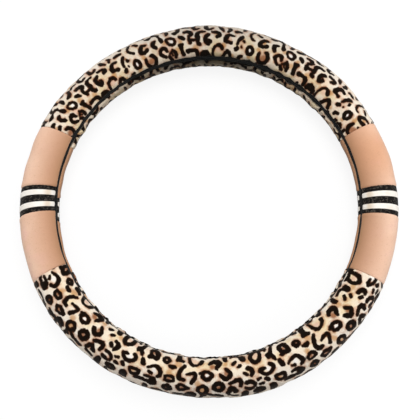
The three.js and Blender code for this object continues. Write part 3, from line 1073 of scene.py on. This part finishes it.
def woven_black() -> bpy.types.Material:
    """Black webbing of coarse yarn in a slanting weave, with some real shine and painted glints.

    Returns:
        The material.
    """
    nodes = Paint("black woven webbing")
    along, around = nodes.cloth()
    yarn = 1.7
    slant = nodes.math("MULTIPLY", nodes.math("ADD", along, around), FULL_TURN / yarn)
    other = nodes.math("MULTIPLY", nodes.math("SUBTRACT", along, around), FULL_TURN / (yarn * 2.2))
    weave = nodes.math("MULTIPLY", nodes.math("SINE", slant), nodes.math("SINE", other))
    height = nodes.math("MULTIPLY_ADD", weave, 0.5, 0.5)
    # Painted glints: light grey specks on the raised yarn.
    glint = nodes.step(nodes.noise(2.4, 2, 0.7), 0.5, 0.62)
    glint = nodes.math("MULTIPLY", glint, nodes.step(height, 0.45, 0.85))
    colour = nodes.lay(linear("#030202"), "#120e0b", nodes.step(height, 0.2, 0.9))
    colour = nodes.lay(colour, "#9c9184", glint, 0.62)
    nodes.set(Base_Color=colour, Roughness=0.6, Specular_IOR_Level=0.12)
    nodes.bump(height, 0.35, 0.8)
    return nodes.material


def ribbed_satin() -> bpy.types.Material:
    """Ivory satin ribbon with fine ribs along it, and a stretch of painted shade 8 mm from its front end.

    Returns:
        The material.
    """
    nodes = Paint("ivory ribbed satin")
    along, around = nodes.cloth()
    rib = nodes.math("SINE", nodes.math("MULTIPLY", along, FULL_TURN / RIB_SPACING))
    height = nodes.math("MULTIPLY_ADD", rib, 0.5, 0.5)
    colour = nodes.lay(linear("#f3ebe0"), "#fffbf4", height)
    colour = nodes.lay(colour, "#f0e3d0", nodes.step(nodes.noise(6), 0.5, 0.7), 0.35)
    # Painted shade: a tan stretch from 4 mm to 15 mm from the ribbon's front end.
    fold = nodes.math("MULTIPLY", nodes.step(around, 4.0, 8.0), nodes.step(around, 15.0, 9.0))
    colour = nodes.lay(colour, "#dcc4a4", fold, 0.6)
    nodes.set(Base_Color=colour, Roughness=0.38, Specular_IOR_Level=0.5)
    nodes.bump(height, 0.06, 0.8)
    return nodes.material


def dark_rubber() -> bpy.types.Material:
    """Moulded black rubber, half matt.

    Returns:
        The material.
    """
    nodes = Paint("moulded black rubber")
    colour = nodes.lay(linear("#050504"), "#0c0d0b", nodes.noise(3))
    nodes.set(Base_Color=colour, Roughness=0.3, Specular_IOR_Level=0.16)
    nodes.bump(nodes.noise(0.5), 0.04, 0.5)
    return nodes.material


@dataclass
class Panel:
    """A plush panel: a folded wall carried round part of the ring.

    Attributes:
        name: The piece's name.
        node: The CAD node that it stands for.
        middle: Ring angle of its middle, in degrees.
        length: Its length along the ring's centre line.
        step: Spacing of its points.
        direction: 1 where the ring angle rises to the viewer's right, else -1.
        seed: The random seed of its relief.
        uneven: How uneven its hems are, 0 to 1.
    """

    name: str
    node: str
    middle: float
    length: float
    step: float
    direction: int
    seed: int
    uneven: float = 0.0

    def grid(self, ring: Ring) -> tuple[np.ndarray, np.ndarray, Path]:
        """The panel's stations and the line round its wall.

        Args:
            ring: The ring.

        Returns:
            Lengths from the panel's middle, turns about the axis in radians, and the path.
        """
        half = (self.length - SEAM_GAP) / 2
        ends = half - np.array([0, 0.25, 0.6, 1.1, SEAM_ROLL])
        inner = np.linspace(-ends[-1], ends[-1], int(2 * ends[-1] / self.step) + 1)
        along = np.concatenate([-ends[:-1], inner, ends[:-1][::-1]])
        turn = math.radians(self.middle) + self.direction * along / ring.centre_radius
        return along, turn, wall_path(ring, self.step)

    def surface(
        self, ring: Ring, along: np.ndarray, turn: np.ndarray, path: Path, outwards: Callable
    ) -> np.ndarray:
        """The wall's points: grip radius, the path's rise, the cover's fullness and the relief.

        Args:
            ring: The ring.
            along: Lengths from the panel's middle.
            turn: Turns about the axis.
            path: The line round the wall.
            outwards: Gives the relief and how far the hems draw back, from along and path.

        Returns:
            The points in metres.
        """
        u, phi = along[:, None], path.angle[None, :]
        relief, drawn = outwards(u, path)
        sunk = 0.75 * fade(self.length / 2 - np.abs(u), SEAM_ROLL)
        radius = ring.grip_radius + path.rise[None, :] + path.share[None, :] * (relief - sunk)
        front, rear = ring.hems()
        side = np.where(phi < math.pi, 1.0, -1.0)
        near = fade(np.minimum(phi - front, rear - phi), HEM_FADE)
        angle = phi + side * near * drawn / ring.grip_radius
        return ring.place(turn[:, None], angle, radius)

    def build(self, ring: Ring, outwards: Callable) -> tuple[bpy.types.Object, np.ndarray, Path]:
        """Makes the panel's mesh with its map and its distance from the hem.

        Args:
            ring: The ring.
            outwards: The relief, as for surface.

        Returns:
            The object, its lengths along the ring, and its path.
        """
        along, turn, path = self.grid(ring)
        points = self.surface(ring, along, turn, path, outwards)
        if self.direction < 0:
            points = points[::-1]
        made = ShellMesh.tube(self.name, points)
        shape = points.shape[:2]
        u = along[::-1] if self.direction < 0 else along
        ShellMesh.map_of(made, np.broadcast_to(u[:, None], shape), np.broadcast_to(path.run, shape))
        hem = np.minimum(path.run, np.abs(path.to_rear()))
        ShellMesh.attribute(made, "hem", np.broadcast_to(hem, shape))
        return made, u, path


def gathers(seed: int, depth: float, uneven: float) -> Callable:
    """The relief of a gathered panel.

    Waves 19.5 mm long fade over 26 mm from the hems, on top of soft lumps of 0.25 mm, 22 mm long,
    and of 0.1 mm, 8 mm long, and a pile's unevenness of 0.05 mm.

    Args:
        seed: The random seed.
        depth: Depth of the waves at the hem.
        uneven: 1 where both hems are wavier at the right and the rear one reaches over the
            ring's lip at the left, 0 where they are even.

    Returns:
        A function that gives relief and drawback from lengths along and a path.
    """

    def relief(u: np.ndarray, path: Path) -> tuple[np.ndarray, np.ndarray]:
        random = np.random.default_rng(seed)
        run = np.minimum(path.run, path.run.max() - path.run)[None, :]
        drift = 3.2 * ripple(u, np.zeros_like(run[:, :1]), 70, seed)
        wave = 0.5 + 0.5 * np.sin(FULL_TURN * (u + drift) / 19.5)
        crease = 0.5 * ripple(u + 0.25 * run, np.zeros_like(run), 6.5, seed + 1)
        near = fade(run, 26)
        lumps = 0.25 * ripple(u, path.run[None, :], 22, seed + 2)
        lumps = lumps + 0.1 * ripple(u, path.run[None, :], 8, seed + 3)
        fuzz = 0.05 * random.standard_normal(lumps.shape)
        rear = (path.angle > math.pi)[None, :]
        behind = np.where(rear, 1.6 + 0.9 * uneven * bell(u, 100.0, 60.0), 1.0)
        drawn = 1.2 * wave * (1 + 0.9 * uneven * bell(u, 75.0, 50.0)) + 0.3 * crease
        drawn = drawn - 1.9 * uneven * bell(u, -115.0, 60.0) * rear
        return depth * behind * near * (wave + 0.5 * crease) + lumps + fuzz, drawn

    return relief


def smooth_side(seed: int) -> Callable:
    """The relief of a plain side panel, pressed in under the band round its middle.

    Args:
        seed: The random seed.

    Returns:
        A function that gives relief and drawback from lengths along and a path.
    """

    def relief(u: np.ndarray, path: Path) -> tuple[np.ndarray, np.ndarray]:
        random = np.random.default_rng(seed)
        lumps = 0.16 * ripple(u, path.run[None, :], 30, seed)
        lumps = lumps + 0.03 * random.standard_normal(lumps.shape)
        edge = np.clip((BAND_WIDTH / 2 + 0.4 - np.abs(u)) / 0.9 + 0.5, 0, 1)
        swell = 0.3 * bell(np.abs(u), BAND_WIDTH / 2 + 3, 2.2)
        return lumps * (1 - edge) - 1.35 * ease(edge) + swell, np.zeros_like(lumps)

    return relief


def strip_path(ring: Ring, step: float, thickness: float, start: float, wrap: float) -> Path:
    """A closed flat line round the pile side of the section, for a strip that lies on the plush.

    Args:
        ring: The ring.
        step: Spacing of the points.
        thickness: The strip's thickness.
        start: How far beyond the hem's tip each end stays.
        wrap: How far each end follows the fold inwards.

    Returns:
        The path, along the top and back along the underside.
    """
    half = WALL / 2
    middle = ring.grip_radius - half
    front, rear = ring.hems()
    first = front + (half + start) / middle
    last = rear - (half + start) / middle
    line = np.linspace(first, last, int((last - first) * ring.grip_radius / step) + 1)
    inwards = -wrap * fade(np.minimum(line - first, last - line) * middle, 2.0)
    angle = np.concatenate([line, line[::-1]])
    rise = np.concatenate([inwards, inwards[::-1] - thickness])
    run = np.concatenate([(line - first) * ring.grip_radius] * 2)
    run[len(line) :] = run[: len(line)][::-1]
    share = np.concatenate([np.ones(len(line)), np.zeros(len(line))])
    return Path(angle, rise, share, run)


def ring_of(ring: Ring, middle: float, along: np.ndarray, path: Path, rise: np.ndarray) -> np.ndarray:
    """Points of a strip that lies across the ring's line.

    Args:
        ring: The ring.
        middle: Ring angle that the lengths are counted from, in degrees.
        along: Lengths along the ring, one per station or one per station and point.
        path: The line round the section.
        rise: Height over the grip radius, in the grid's shape.

    Returns:
        The points in metres.
    """
    turn = math.radians(middle) + along / ring.centre_radius
    return ring.place(turn, path.angle[None, :], ring.grip_radius + path.rise[None, :] + rise)


def build_band(ring: Ring, side: str, middle: float, paint: bpy.types.Material) -> bpy.types.Object:
    """The black woven band: a flat strip with a small loop every 3.4 mm along both edges.

    Args:
        ring: The ring.
        side: "right" or "left".
        middle: Ring angle of its middle.
        paint: Its material.

    Returns:
        The object.
    """
    path = strip_path(ring, 0.5, 0.9, -1.2, 1.3)
    across = np.linspace(-1, 1, 49)[:, None]
    to_edge = 1 - np.abs(across)
    loops = 1.4 * np.abs(np.sin(math.pi * path.run / LOOP_SPACING)) ** 0.9
    along = across * (BAND_WIDTH / 2 - 0.4) + np.sign(across) * fade(to_edge, 0.07) * loops
    weave = 0.09 * np.sin(FULL_TURN * (along + path.run) / 2.4)
    rise = (weave - 0.35 * fade(to_edge, 0.06)) * path.share - 0.25
    made = ShellMesh.tube(f"woven_band_{side}", ring_of(ring, middle, along, path, rise))
    ShellMesh.map_of(made, along, np.broadcast_to(path.run, along.shape))
    dress(made, paint, f"{side}_band")
    return made


def build_ribbon(
    ring: Ring, side: str, place: str, middle: float, offset: float, paint: bpy.types.Material
) -> bpy.types.Object:
    """A cream ribbon: a strip with rounded ends and five ribs along it.

    Args:
        ring: The ring.
        side: "right" or "left".
        place: "upper" or "lower".
        middle: Ring angle of the band's middle.
        offset: Its distance from the band's middle along the ring.
        paint: Its material.

    Returns:
        The object.
    """
    path = strip_path(ring, 0.7, 0.45, -0.6, 0.5)
    across = np.linspace(-1, 1, 31)[:, None]
    end = np.minimum(path.run, path.run.max() - path.run)[None, :]
    width = RIBBON_WIDTH / 2 * np.sqrt(1 - 0.6 * fade(end, 1.2))
    along = offset + across * width
    ribs = 0.07 * np.cos(FULL_TURN * across * RIBBON_WIDTH / 2 / RIB_SPACING)
    rise = (ribs - 0.22 * np.abs(across) ** 6) * path.share[None, :] + 0.12
    made = ShellMesh.tube(f"ribbon_{side}_{place}", ring_of(ring, middle, along, path, rise))
    ShellMesh.map_of(made, along + 0 * path.run, np.broadcast_to(path.run, along.shape))
    return dress(made, paint, f"{side}_{place}_ribbon")


def build_rubber(ring: Ring, paint: bpy.types.Material) -> bpy.types.Object:
    """The rubber ring: a thin wall inside the plush whose lips end in round beads by the slit.

    Args:
        ring: The ring.
        paint: Its material.

    Returns:
        The object.
    """
    outer = ring.grip_radius - WALL - 0.3
    inner = outer - 2.0
    bead = 0.95
    seat = ring.grip_radius - 1.7
    front = math.asin((FRONT_HEM_LEVEL - 1.1) / seat)
    rear = FULL_TURN + math.asin((REAR_HEM_LEVEL + 1.1) / seat)
    wall = np.linspace(front + 0.16, rear - 0.16, 72)
    bend = np.linspace(-0.35, math.pi + 0.9, 13)
    lip = seat + bead * np.cos(bend)
    swing = bead * np.sin(bend) / seat
    angle = np.concatenate([front - swing[::-1], wall, rear + swing, wall[::-1]])
    radius = np.concatenate([lip[::-1], np.full(wall.size, outer), lip, np.full(wall.size, inner)])
    turn = np.linspace(0, FULL_TURN, 221)[:-1, None]
    sway = 0.2 * np.sin(turn * 23) + 0.15 * np.sin(turn * 41 + 1)
    near = np.clip(1 - np.minimum(angle - front, rear - angle) / 0.5, 0, 1)[None, :]
    reach = radius[None, :] + near * sway
    made = ShellMesh.tube("rubber_ring", ring.place(turn, angle[None, :], reach), ring=True)
    return dress(made, paint, "inner_ring")


def dress(made: bpy.types.Object, paint: bpy.types.Material, node: str) -> bpy.types.Object:
    """Gives a piece its material and its place in the frame.

    Args:
        made: The piece.
        paint: Its material.
        node: The CAD node that it stands for.

    Returns:
        The piece.
    """
    made.data.materials.append(paint)
    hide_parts(node)
    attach(made, "root")
    faces = sum(len(p.vertices) - 2 for p in made.data.polygons)
    LOG.info("%s: %d triangles, for %s", made.name, faces, node)
    return made


def painted_pile_shading(u: np.ndarray, path: Path, design: PrintDesign) -> np.ndarray:
    """Painted shade on the pile: darker round the panel's middle, at both hems and round the outside.

    Each dimmed part is a bell along the ring, times a bell at a hem or a slow step outside.

    Args:
        u: Lengths along the ring from the panel's middle.
        path: The line round the wall.
        design: Its print, which says how much darker each part is.

    Returns:
        A share of the full colour at each point.
    """
    middle = bell(u, 0.0, 105.0)
    rear = np.clip(path.to_rear(), 0, None)
    outside = np.clip((path.run - design.outer_start) / 22.0, 0, 1) ** 1.5
    painted_shade = 1 - design.dim * middle
    painted_shade = painted_shade * (1 - design.hem_dim * bell(u, 30.0, 95.0) * bell(path.run, 0.0, 5.0))
    painted_shade = painted_shade * (1 - design.rear_dim * middle * bell(rear, 0.0, 9.0))
    return painted_shade * (1 - design.outer_dim * middle * outside)


def build_printed(
    ring: Ring, panel: Panel, design: PrintDesign, paint: bpy.types.Material
) -> bpy.types.Object:
    """A printed plush panel with its print's fields.

    Args:
        ring: The ring.
        panel: The panel.
        design: Its print.
        paint: Its material.

    Returns:
        The object.
    """
    made, along, path = panel.build(ring, gathers(panel.seed, 0.8, panel.uneven))
    order = np.argsort(path.run, kind="stable")
    rising = np.argsort(along, kind="stable")
    turn = math.radians(panel.middle) + panel.direction * along[rising, None] / ring.centre_radius
    slid, moved = ring.moves(turn, path.angle[None, order])
    fields = PrintFields(along[rising], path.run[order], (panel.direction * moved, slid), design)
    for name, values in (("ink", fields.ink), *fields.tints.items()):
        placed = np.empty_like(values)
        placed[np.ix_(rising, order)] = values
        ShellMesh.attribute(made, name, placed)
    # Painted shade, as a share of the full colour at each vertex.
    ShellMesh.attribute(made, "painted_shade", painted_pile_shading(along[:, None], path, design))
    dress(made, paint, panel.node)
    return made


def build_side(ring: Ring, panel: Panel, paint: bpy.types.Material) -> bpy.types.Object:
    """A plain side panel.

    Args:
        ring: The ring.
        panel: The panel.
        paint: Its material.

    Returns:
        The object.
    """
    made, along, path = panel.build(ring, smooth_side(panel.seed))
    # Painted shade: a warmer, darker patch on the right panel's upper part.
    warmer = bell(along[:, None], 50.0, 30.0) * bell(path.run, 30.0, 26.0) * (panel.middle == 0)
    ShellMesh.attribute(made, "warm", warmer)
    dress(made, paint, panel.node)
    return made


class Studio:
    """Camera, floor and lamps."""

    TILT = math.radians(11.5)
    DISTANCE = 600.0
    ASIDE = 1.4
    DOWN = 8.2
    LENS = 49.7
    SENSOR = 36
    FLOOR_METRES = 6
    FLOOR_HEIGHT_METRES = -0.0002
    FLOOR_GLOW = 0.86

    def camera(self, ring: Ring) -> None:
        """Looks down at the ring, from a little below its middle.

        Args:
            ring: The ring.
        """
        away = Vector((0, -math.sin(self.TILT), math.cos(self.TILT)))
        up = Vector((0, math.cos(self.TILT), math.sin(self.TILT)))
        right = Vector((1, 0, 0))
        data = bpy.data.cameras.new("camera")
        data.lens, data.sensor_width = self.LENS, self.SENSOR
        made = bpy.data.objects.new("camera", data)
        centre = Vector((0, 0, ring.centre_height))
        place = (centre + away * self.DISTANCE + right * self.ASIDE - up * self.DOWN) * MM
        turn = Matrix((right, up, away)).transposed().to_4x4()
        made.matrix_world = Matrix.Translation(place) @ turn
        bpy.context.scene.collection.objects.link(made)
        bpy.context.scene.camera = made

    def floor(self) -> None:
        """A plain pale floor that the camera sees as white where no shadow falls."""
        place = (0, 0, self.FLOOR_HEIGHT_METRES)
        bpy.ops.mesh.primitive_plane_add(size=self.FLOOR_METRES, location=place)
        made = bpy.context.object
        made.name = "floor"
        nodes = Paint("pale floor")
        path = nodes.add("ShaderNodeLightPath").outputs
        seen = nodes.math("MAXIMUM", path["Is Camera Ray"], path["Is Glossy Ray"])
        seen = nodes.math("MAXIMUM", seen, path["Is Transmission Ray"])
        nodes.set(Base_Color=linear("#6e6e6e"), Roughness=1.0, Specular_IOR_Level=0.0)
        glow = nodes.math("MULTIPLY", seen, self.FLOOR_GLOW)
        nodes.set(Emission_Color=linear("#ffffff"), Emission_Strength=glow)
        made.data.materials.append(nodes.material)

    def lights(self) -> None:
        """A pale world, brighter near the horizon, and two soft lamps, above and at the lower right.

        For a direction (x, y, z) the world's strength is
        0.55 + 0.9 * (1 - |z|)^6 * (0.65 + 0.35 * y + 0.95 * x^2 + 1.1 * x^2 * (1 + x) * max(-y, 0)).
        """
        world = bpy.data.worlds.new("studio")
        world.use_nodes = True
        nodes = Nodes(world.node_tree)
        place = nodes.add("ShaderNodeTexCoord").outputs["Generated"]
        x, y, z = nodes.add("ShaderNodeSeparateXYZ", {0: place}).outputs
        square = nodes.math("MULTIPLY", x, x)
        below = nodes.math("MAXIMUM", nodes.math("MULTIPLY", y, -1.0), 0.0)
        corner = nodes.math("MULTIPLY", nodes.math("MULTIPLY_ADD", square, x, square), below)
        side = nodes.math("MULTIPLY_ADD", square, 0.95, nodes.math("MULTIPLY_ADD", y, 0.35, 0.65))
        side = nodes.math("MULTIPLY_ADD", corner, 1.1, side)
        low = nodes.math("POWER", nodes.math("SUBTRACT", 1.0, nodes.math("ABSOLUTE", z)), 6.0)
        plain = nodes.math("MULTIPLY_ADD", nodes.math("MULTIPLY", low, side), 0.9, 0.55)
        seen = nodes.add("ShaderNodeLightPath").outputs["Is Camera Ray"]
        white = nodes.math("MULTIPLY", seen, nodes.math("SUBTRACT", 1.0, plain))
        back = nodes.tree.nodes["Background"].inputs
        nodes.feed(back["Color"], linear("#ffffff"))
        nodes.feed(back["Strength"], nodes.math("ADD", plain, white))
        bpy.context.scene.world = world
        self.lamp("key", place=(0.1, 0.6, 1.25), size=1.1, power=11.6)
        self.lamp("fill", place=(1.0, -0.8, 0.7), size=0.8, power=2.8)

    @staticmethod
    def lamp(name: str, place: Point, size: float, power: float) -> None:
        """Adds a square lamp that points at the ring's middle.

        Args:
            name: The lamp's name.
            place: Its place in metres.
            size: Its side in metres.
            power: Its power in watts.
        """
        data = bpy.data.lights.new(name, "AREA")
        data.size, data.energy = size, power
        made = bpy.data.objects.new(name, data)
        made.location = place
        made.rotation_euler = (-Vector(place)).to_track_quat("-Z", "Y").to_euler()
        bpy.context.scene.collection.objects.link(made)


def main() -> None:
    """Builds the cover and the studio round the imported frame."""
    logging.basicConfig(level=logging.INFO, format="%(message)s")
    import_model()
    ring = Ring.from_frame()
    LOG.info("ring: %s", ring)
    printed = math.pi * ring.centre_radius - SIDE_LENGTH
    brown = printed_plush(
        "leopard plush, brown print",
        ground=("#f0e0ca", "#e0c797", "#eed0b7", "#f6ece0"),
        ink=("#130902", "#321a0c", "#5f2a11"),
        soft=0.45,
        pale=0.0,
    )
    black = printed_plush(
        "leopard plush, black print",
        ground=("#f6e7d1", "#edd3a4", "#f2d1b4", "#f9efe3"),
        ink=("#120802", "#2c180c", "#53290f"),
        soft=0.4,
        pale=0.7,
    )
    tan, webbing, satin, rubber = plain_plush(), woven_black(), ribbed_satin(), dark_rubber()
    build_rubber(ring, rubber)
    upper = Panel("upper_plush", "upper_panel", 90, printed, PRINTED_STEP, direction=-1, seed=11, uneven=1.0)
    lower = Panel("lower_plush", "lower_panel", -90, printed, PRINTED_STEP, direction=1, seed=21)
    build_printed(ring, upper, UPPER_PRINT, brown)
    build_printed(ring, lower, LOWER_PRINT, black)
    for side, middle, up, drop in (("right", 0, 1, RIBBON_DROP), ("left", 180, -1, 0.0)):
        names = f"side_plush_{side}", f"{side}_panel"
        panel = Panel(*names, middle, SIDE_LENGTH, PLAIN_STEP, direction=1, seed=31 + middle)
        build_side(ring, panel, tan)
        build_band(ring, side, middle, webbing)
        for place, sign in (("upper", up), ("lower", -up)):
            build_ribbon(ring, side, place, middle, sign * RIBBON_SPACING / 2 - drop, satin)
    studio = Studio()
    studio.camera(ring)
    studio.floor()
    studio.lights()
    bpy.context.scene.view_settings.view_transform = "Standard"


if __name__ == "__main__":
    main()
